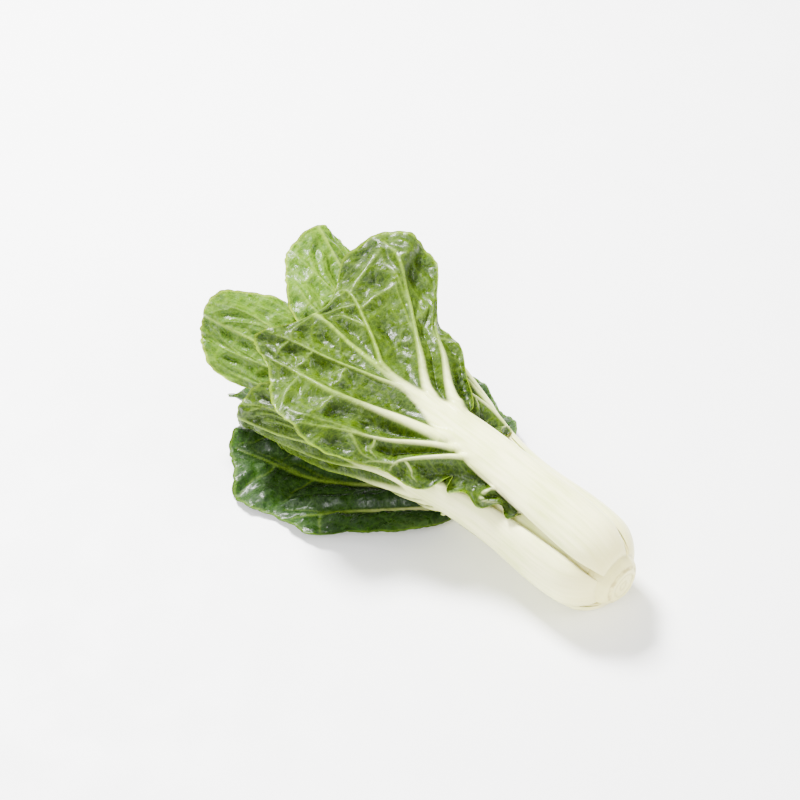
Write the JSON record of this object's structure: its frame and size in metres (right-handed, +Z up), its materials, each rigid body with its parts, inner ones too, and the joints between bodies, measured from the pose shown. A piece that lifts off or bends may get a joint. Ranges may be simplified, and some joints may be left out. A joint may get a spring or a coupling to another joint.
{
  "type": "bok choy",
  "caption": "Head of baby bok choy lying on its side, with thick white stalks, quilted green blades and a pale cut root end.",
  "frame": {"origin": "under the middle of the head's bounding box, on the surface that it lies on", "axes": "+Z up, +X along the head towards the cut root end, the leaves reach towards -X"},
  "size_m": [0.1986, 0.12, 0.0746],
  "materials": {
    "white_stalk": "smooth waxy",
    "green_blade": "glossy crinkled leaf",
    "dark_blade": "glossy crinkled leaf",
    "young_blade": "glossy crinkled leaf",
    "cut_crown": "moist cut stem"
  },
  "bodies": {
    "root": {"top_leaf_stalk": "white_stalk", "top_leaf_blade": "green_blade", "under_leaf_stalk": "white_stalk", "under_leaf_blade": "dark_blade", "near_leaf_stalk": "white_stalk", "near_leaf_blade": "green_blade", "far_leaf_stalk": "white_stalk", "far_leaf_blade": "green_blade", "middle_leaf_1_stalk": "white_stalk", "middle_leaf_1_blade": "young_blade", "middle_leaf_2_stalk": "white_stalk", "middle_leaf_2_blade": "young_blade", "middle_leaf_3_stalk": "white_stalk", "middle_leaf_3_blade": "dark_blade", "middle_leaf_4_stalk": "white_stalk", "middle_leaf_4_blade": "dark_blade", "inner_leaf_1_stalk": "white_stalk", "inner_leaf_1_blade": "young_blade", "inner_leaf_2_stalk": "white_stalk", "inner_leaf_2_blade": "young_blade", "inner_leaf_3_stalk": "white_stalk", "inner_leaf_3_blade": "young_blade", "crown": "cut_crown"}
  },
  "joints": []
}
